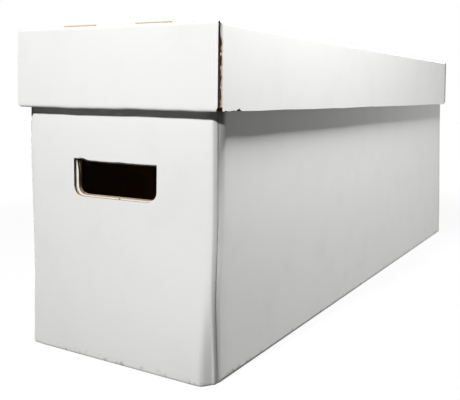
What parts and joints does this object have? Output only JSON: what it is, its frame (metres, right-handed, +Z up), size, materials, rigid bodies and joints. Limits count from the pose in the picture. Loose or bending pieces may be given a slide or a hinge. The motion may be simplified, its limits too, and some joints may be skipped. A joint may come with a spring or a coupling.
{
  "type": "comic book storage box",
  "caption": "Long corrugated-board storage box for comic books: a tall tray with rolled-over ends, hand holes and push-in flaps, closed by a shallow lift-off lid.",
  "frame": {"origin": "on the ground under the middle of the box", "axes": "+Z up, +Y along the box away from the pictured end, +X across it to the pictured side"},
  "size_m": [0.198, 0.727, 0.2725],
  "materials": {
    "white_board": "matt white outer paper, brown raw edges",
    "kraft_board": "matt brown inner paper"
  },
  "bodies": {
    "tray": {"floor_panel": "kraft_board", "side_wall_left": "white_board", "side_wall_right": "white_board", "corner_flap_front_left": "kraft_board", "corner_flap_front_right": "kraft_board", "corner_flap_rear_left": "kraft_board", "corner_flap_rear_right": "kraft_board", "end_wall_outer_front": "white_board", "end_wall_outer_rear": "white_board", "end_rim_front": "white_board", "end_rim_rear": "white_board", "end_wall_inner_front": "white_board", "end_wall_inner_rear": "white_board"},
    "lid": {"lid_top_panel": "white_board", "lid_side_skirt_left": "white_board", "lid_side_skirt_right": "white_board", "lid_corner_flap_front_left": "kraft_board", "lid_corner_flap_front_right": "kraft_board", "lid_corner_flap_rear_left": "kraft_board", "lid_corner_flap_rear_right": "kraft_board", "lid_end_skirt_outer_front": "white_board", "lid_end_skirt_outer_rear": "white_board", "lid_end_rim_front": "white_board", "lid_end_rim_rear": "white_board", "lid_end_skirt_inner_front": "white_board", "lid_end_skirt_inner_rear": "white_board"},
    "front_hand_flap": {"hand_flap_front": "white_board"},
    "rear_hand_flap": {"hand_flap_rear": "white_board"}
  },
  "joints": [
    {"name": "lid_lift", "type": "slide", "parent": "tray", "child": "lid", "axis": [0, 0, 1], "range_m": [0, 0.15]},
    {"name": "front_flap_hinge", "type": "hinge", "parent": "tray", "child": "front_hand_flap", "pos_m": [-0.003, -0.35, 0.1627], "axis": [1, 0, 0], "range_deg": [-90, 0]},
    {"name": "rear_flap_hinge", "type": "hinge", "parent": "tray", "child": "rear_hand_flap", "pos_m": [0.003, 0.35, 0.1627], "axis": [-1, 0, 0], "range_deg": [-90, 0]}
  ]
}
